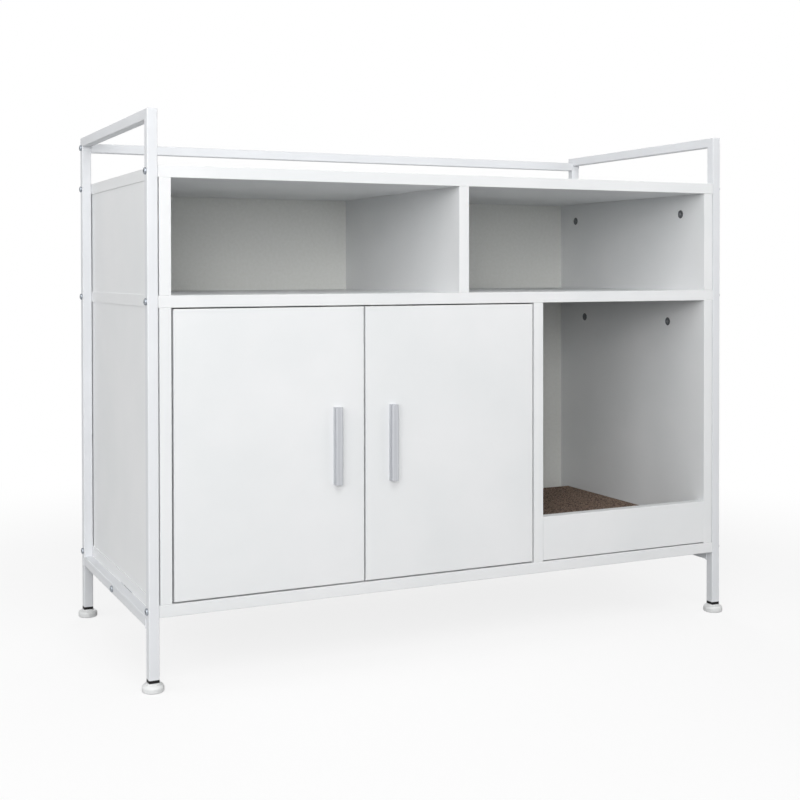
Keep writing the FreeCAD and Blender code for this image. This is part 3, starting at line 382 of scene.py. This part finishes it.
FINISHES = {
    "melamine_board": melamine(),
    "back_hardboard": lacquered_hardboard(),
    "frame_enamel": powder_coat(),
    "handle_aluminium": anodised_aluminium(),
    # Bright nickel on pressed steel: a warm, fairly sharp mirror.
    "nickelled_steel": plated("bright_nickel", "#BDBAB4", "#D3D0CA", 0.2, 0.32, 9 * MM),
    # Clear zinc on steel: a cool grey mirror, clouded by its passivation.
    "zinc_plated_steel": plated("clear_zinc", "#7C8188", "#A3A8AE", 0.28, 0.42, 2.5 * MM),
    # Die-cast zinc, as it leaves the mould: dark, dull grey with a grainy skin.
    "cam_zinc": plated("die_cast_zinc", "#6B6D70", "#8A8C8F", 0.4, 0.55, 1.2 * MM),
    # Black polyethylene, moulded: deep black with a soft sheen.
    "plug_plastic": moulded("black_polyethylene", "#0B0B0C", "#121213", 0.55, 0.65, 0.8 * MM,
                            Specular_IOR_Level=0.25),
    # White nylon, moulded: milky white with a soft, broad sheen.
    "foot_nylon": moulded("white_nylon", "#D9DADA", "#E1E2E2", 0.4, 0.5, 0.9 * MM, Specular_IOR_Level=0.4),
    # White polystyrene of the catches, moulded: plain satin white.
    "catch_plastic": moulded("white_polystyrene", "#E6E6E2", "#EEEEEA", 0.35, 0.42, 0.9 * MM),
    "beech_dowel": beech(),
    "corrugated_board": kraft_board(),
}

for subpart in frame["record"]["subparts"]:
    mesh = NODES[subpart["node"]].data
    mesh.materials.clear()
    mesh.materials.append(FINISHES[subpart["material_slot"]])


# ---------------------------------------------------------------- screws that stand for plain ones
def solids_of(node):
    """Low and high corners of each separate solid of a node, from the loose parts of its mesh."""
    shaped = bmesh.new()
    shaped.from_mesh(NODES[node].data)
    bmesh.ops.remove_doubles(shaped, verts=shaped.verts, dist=0.01 * MM)
    boxes, waiting = [], set(shaped.verts)
    while waiting:
        front = [waiting.pop()]
        island = []
        while front:
            vertex = front.pop()
            island.append(vertex.co[:])
            for edge in vertex.link_edges:
                other = edge.other_vert(vertex)
                if other in waiting:
                    waiting.remove(other)
                    front.append(other)
        island = np.array(island)
        boxes.append((island.min(axis=0), island.max(axis=0)))
    shaped.free()
    return sorted(boxes, key=lambda box: tuple(box[0].round(5)))


def screws_at(boxes, axis, kind, columns=32):
    """Cross-recessed screws in the places of plain ones, given by their boxes, heads towards the axis."""
    head, height, shank = kind
    direction = np.array(axis, float)
    grids = []
    for low, high in boxes:
        tip = np.where(direction > 0, high, low)
        seat = np.where(direction == 0, (low + high) / 2, tip - direction * height)
        length = abs((high - low) @ direction) - height
        grids.append(turned_to(cross_head_screw(head, height, shank, length, columns), axis, seat))
    return grids


def stand_for(node, grids, body, slot="zinc_plated_steel"):
    """One piece that takes the place of a node of plain screws."""
    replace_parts(make_piece("detailed_" + node, grids, body, FINISHES[slot]), node)


def make_screws():
    """Every group of screws whose heads can be seen, and the cams."""
    back = screws_at(solids_of("back_screws"), (0, 1, 0), BACK_SCREW)
    stand_for("back_screws", back, "cabinet")
    under = screws_at(solids_of("panel_screws"), (0, 0, -1), PANEL_SCREW)
    stand_for("panel_screws", under, "cabinet")
    catch = screws_at(solids_of("catch_screws"), (0, 0, -1), CATCH_SCREW)
    stand_for("catch_screws", catch, "cabinet")
    # The cams of the left panels and of the upper divider face right, and the others left.
    last_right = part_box("upper_divider")[1].x
    cams = []
    for low, high in solids_of("cams"):
        axis = (1, 0, 0) if low[0] < last_right else (-1, 0, 0)
        radius = (high[2] - low[2]) / 2
        cams += screws_at([(low, high)], axis, (radius, CAM_DOME, radius), 48)
    stand_for("cams", cams, "cabinet", "cam_zinc")
    for side in ("left", "right"):
        node = side + "_handle_screws"
        stand_for(node, screws_at(solids_of(node), (0, 1, 0), HANDLE_SCREW, 48), side + "_door")
    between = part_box("left_door")[1].x
    plate = []
    for low, high in solids_of("hinge_plate_screws"):
        axis = (1, 0, 0) if low[0] < between else (-1, 0, 0)
        plate += screws_at([(low, high)], axis, PLATE_SCREW, 40)
    stand_for("hinge_plate_screws", plate, "cabinet", "nickelled_steel")


make_screws()


# ---------------------------------------------------------------- levelling feet
def make_foot_rods():
    """Threaded rod of each levelling foot, in the place of its plain one."""
    for corner in ("front_left", "front_right", "rear_left", "rear_right"):
        low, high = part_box("foot_screw_" + corner)
        centre = (low + high) / 2
        radius = (high.x - low.x) / 2
        grid = threaded_rod(radius, high.z - low.z) + np.array([centre.x, centre.y, low.z])
        rod = make_piece("threaded_rod_" + corner, [grid], "foot_" + corner,
                         FINISHES["zinc_plated_steel"])
        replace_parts(rod, "foot_screw_" + corner)


make_foot_rods()


# ---------------------------------------------------------------- weld beads
def make_weld_beads():
    """Bead round the outer side, the bottom and the inner side of each lower rail, where it meets a post."""
    grids = []
    for side in ("left", "right"):
        low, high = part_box(side + "_lower_rail")
        top = high.z - 3 * MM
        for y in (low.y, high.y):
            path = [(low.x, y, top), (low.x, y, low.z), (high.x, y, low.z), (high.x, y, top)]
            grids.append(bead(path, BEAD_RADIUS))
    return make_piece("weld_beads", grids, "cabinet", FINISHES["frame_enamel"])


make_weld_beads()


# ---------------------------------------------------------------- hinge screws
def make_hinge_screws():
    """Two screws in the wings of each hinge cup, and two in the web of each hinge arm."""
    nickel = FINISHES["nickelled_steel"]
    for side, inward in (("left", 1), ("right", -1)):
        cup_screws, arm_screws = [], []
        for low, high in solids_of(side + "_hinge_cups"):
            inner = high[0] if inward > 0 else low[0]
            for step in (-FLANGE_SCREW_OFFSET, FLANGE_SCREW_OFFSET):
                seat = (inner - inward * FLANGE_SCREW_INSET, high[1], (low[2] + high[2]) / 2 + step)
                screw = cross_head_screw(*FLANGE_SCREW, FLANGE_SCREW_DEPTH, 48)
                cup_screws.append(turned_to(screw, (0, 1, 0), seat))
        for low, high in solids_of(side + "_hinge_arms"):
            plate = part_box(side + "_hinge_plates")
            web = plate[0].x + ARM_STAND if inward > 0 else plate[1].x - ARM_STAND
            for step in ARM_SCREWS:
                seat = (web, high[1] - ARM_LENGTH + step, (low[2] + high[2]) / 2)
                screw = cross_head_screw(*ARM_SCREW, ARM_SCREW_DEPTH, 40)
                arm_screws.append(turned_to(screw, (inward, 0, 0), seat))
        make_piece(side + "_cup_screws", cup_screws, side + "_door", nickel)
        make_piece(side + "_arm_screws", arm_screws, "cabinet", nickel)


make_hinge_screws()


# ---------------------------------------------------------------- scratching pad
def make_pad():
    """Corrugated pad: straight liners along Y, a fluted sheet between each two, and a band round it.

    A fluted sheet's line in plan is a sine of the distance along Y whose height fills the space
    between two liners. Each sheet's upper edge is a little uneven, as cut and scratched board is.
    """
    low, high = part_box("scratching_pad")
    chance = np.random.default_rng(SEED)
    inner_x0, inner_x1 = low.x + WRAP, high.x - WRAP
    inner_y0, inner_y1 = low.y + WRAP, high.y - WRAP
    layers = int((inner_x1 - inner_x0) / LAYER)
    pitch = (inner_x1 - inner_x0) / layers
    flutes = int((inner_y1 - inner_y0) / FLUTE)
    y = np.linspace(inner_y0, inner_y1, flutes * FLUTE_POINTS + 1)
    sheets, liners = [], []
    for layer in range(layers):
        middle = inner_x0 + (layer + 0.5) * pitch
        shift = chance.uniform(0, 2 * math.pi)
        swing = (pitch / 2 - PAPER) * np.sin(2 * math.pi * (y - inner_y0) / FLUTE + shift)
        top = high.z - 0.3 * MM - abs(chance.normal(0, 0.35 * MM)) - abs(chance.normal(0, 0.25 * MM, len(y)))
        sheets.append(standing_sheet(np.stack([middle + swing, y], -1), PAPER, low.z + 1 * MM, top))
    coarse = y[::FLUTE_POINTS]
    for layer in range(1, layers):
        x = inner_x0 + layer * pitch + chance.normal(0, 0.08 * MM, len(coarse))
        top = high.z - 0.2 * MM - abs(chance.normal(0, 0.3 * MM))
        top = top - abs(chance.normal(0, 0.2 * MM, len(coarse)))
        liners.append(standing_sheet(np.stack([x, coarse], -1), PAPER, low.z + 1 * MM, top))
    kraft = FINISHES["corrugated_board"]
    flute_piece = make_piece("pad_flutes", sheets, "scratching_pad", kraft)
    make_piece("pad_liners", liners, "scratching_pad", kraft, smooth=False)
    outer = np.array([(low.x, low.y), (high.x, low.y), (high.x, high.y), (low.x, high.y),
                      (low.x, low.y)])
    inner = np.array([(inner_x0, inner_y0), (inner_x1, inner_y0), (inner_x1, inner_y1), (inner_x0, inner_y1),
                      (inner_x0, inner_y0)])
    rings = [(outer, low.z), (outer, high.z), (inner, high.z), (inner, low.z + 1 * MM)]
    band = np.stack([np.concatenate([ring, np.full((5, 1), z)], axis=1) for ring, z in rings], axis=0)
    floor_centre = np.repeat(np.array([[[(low.x + high.x) / 2, (low.y + high.y) / 2, low.z]]]), 5, axis=1)
    inner_centre = floor_centre + np.array([0, 0, 1 * MM])
    band = np.concatenate([floor_centre, band, inner_centre])
    make_piece("pad_band", [band], "scratching_pad", kraft, wrap=False, smooth=False)
    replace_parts(flute_piece, "scratching_pad")


make_pad()

# ---------------------------------------------------------------- floor, light and camera
FLOOR_HALF = 14.0               # half the floor's width
WHITE_FROM = 0.7                # distance from the cabinet at which the floor begins to fade to white
WHITE_AT = 1.7                  # distance at which it is white
FLOOR_GLOW = 0.8                # share of plain white in the floor that the camera sees near the cabinet
AMBIENT = 0.19
LAMPS = {                       # place, width and power of each lamp
    "side_lamp": ((-3.2, -2.8, 1.6), 1.6, 40.0),
    "left_lamp": ((-3.6, -0.3, 1.8), 2.4, 40.0),
    "high_lamp": ((-0.6, -1.9, 2.4), 1.6, 28.0),
    "front_lamp": ((-0.4, -4.0, 1.0), 1.4, 12.0),
    "low_lamp": ((-1.5, -2.9, 1.15), 1.0, 28.0),
    "right_lamp": ((3.0, -2.4, 1.6), 1.8, 30.0),
    "back_lamp": ((1.2, 3.6, 1.9), 2.4, 55.0),
}
LAMP_TARGET = (0.0, 0.0, 0.45)
CAMERA_PLACE = (-0.994587, -1.967482, 0.611695)
CAMERA_YAW = 24.04426           # degrees to the right of straight back
CAMERA_PITCH = 0.75632          # degrees down
CAMERA_ROLL = -0.11748
CAMERA_LENS = 55.478
CAMERA_SHIFT = (0.0726, -0.1396)


def seen_rays(tree):
    """1 for the camera's rays, and for those of a reflection or through glass. 0 for bounced light."""
    rays = add(tree, "LightPath").outputs
    direct = add(tree, "Math", {0: rays["Is Camera Ray"], 1: rays["Is Glossy Ray"]}, operation="MAXIMUM")
    through = {0: direct.outputs[0], 1: rays["Is Transmission Ray"]}
    return add(tree, "Math", through, operation="MAXIMUM").outputs[0]


def make_floor():
    """Plain pale floor that keeps the cabinet's shadow and fades to white away from it."""
    steps = np.linspace(-FLOOR_HALF, FLOOR_HALF, 9)
    x, y = np.meshgrid(steps, steps)
    points = np.stack([x, y, 0 * x], axis=-1)
    mesh = bpy.data.meshes.new("floor")
    mesh.from_pydata(points.reshape(-1, 3).tolist(), [], grid_faces(9, 9, False).tolist())
    floor = bpy.data.objects.new("floor", mesh)
    bpy.context.scene.collection.objects.link(floor)
    made = bpy.data.materials.new("pale_floor")
    made.use_nodes = True
    tree = made.node_tree
    tree.nodes.clear()
    seen = seen_rays(tree)
    place = add(tree, "TexCoord").outputs["Object"]
    away = add(tree, "VectorMath", {0: place}, operation="LENGTH").outputs["Value"]
    fade = add(tree, "MapRange", {"Value": away, "From Min": WHITE_FROM, "From Max": WHITE_AT,
                                  "To Min": FLOOR_GLOW, "To Max": 1.0}, interpolation_type="SMOOTHSTEP")
    share = add(tree, "Math", {0: seen, 1: fade.outputs["Result"]}, operation="MULTIPLY")
    shade = add(tree, "Mix", {"Factor": seen}, data_type="RGBA")
    shade.inputs[6].default_value = linear("#929292")
    shade.inputs[7].default_value = linear("#F2F2F2")
    paint = add(tree, "BsdfDiffuse", {"Color": shade.outputs[2]}).outputs["BSDF"]
    glow = add(tree, "Emission", {"Color": (1, 1, 1, 1), "Strength": 1.0}).outputs["Emission"]
    mixed = add(tree, "MixShader", {"Fac": share.outputs[0], 1: paint, 2: glow}).outputs["Shader"]
    add(tree, "OutputMaterial", {"Surface": mixed})
    mesh.materials.append(made)


def make_world():
    """Even pale surroundings, plain white where the camera or a reflection sees them."""
    world = bpy.data.worlds.new("studio")
    world.use_nodes = True
    tree = world.node_tree
    tree.nodes.clear()
    seen = seen_rays(tree)
    strength = add(tree, "MapRange", {"Value": seen, "To Min": AMBIENT, "To Max": 1.0})
    sky = add(tree, "Background", {"Color": (1, 1, 1, 1), "Strength": strength.outputs["Result"]})
    add(tree, "OutputWorld", {"Surface": sky.outputs["Background"]})
    bpy.context.scene.world = world


def make_lamp(name, place, size, power):
    """Square soft lamp that faces the cabinet."""
    data = bpy.data.lights.new(name, "AREA")
    data.shape = "SQUARE"
    data.size = size
    data.energy = power
    lamp = bpy.data.objects.new(name, data)
    lamp.location = place
    lamp.rotation_mode = "QUATERNION"
    lamp.rotation_quaternion = (Vector(LAMP_TARGET) - Vector(place)).to_track_quat("-Z", "Y")
    bpy.context.scene.collection.objects.link(lamp)


def make_camera():
    """Camera at the photograph's viewpoint."""
    yaw, pitch, roll = (math.radians(a) for a in (CAMERA_YAW, CAMERA_PITCH, CAMERA_ROLL))
    forward = Vector((math.sin(yaw) * math.cos(pitch), math.cos(yaw) * math.cos(pitch), -math.sin(pitch)))
    level = Vector((math.cos(yaw), -math.sin(yaw), 0))
    upright = level.cross(forward)
    right = math.cos(roll) * level + math.sin(roll) * upright
    up = math.cos(roll) * upright - math.sin(roll) * level
    turn = Matrix((right, up, -forward)).transposed().to_4x4()
    data = bpy.data.cameras.new("camera")
    data.lens = CAMERA_LENS
    data.sensor_width = 36.0
    data.shift_x, data.shift_y = CAMERA_SHIFT
    camera = bpy.data.objects.new("camera", data)
    camera.matrix_world = Matrix.Translation(CAMERA_PLACE) @ turn
    bpy.context.scene.collection.objects.link(camera)
    bpy.context.scene.camera = camera


make_floor()
make_world()
for lamp_name, lamp_sizes in LAMPS.items():
    make_lamp(lamp_name, *lamp_sizes)
make_camera()
bpy.context.scene.view_settings.view_transform = "Standard"
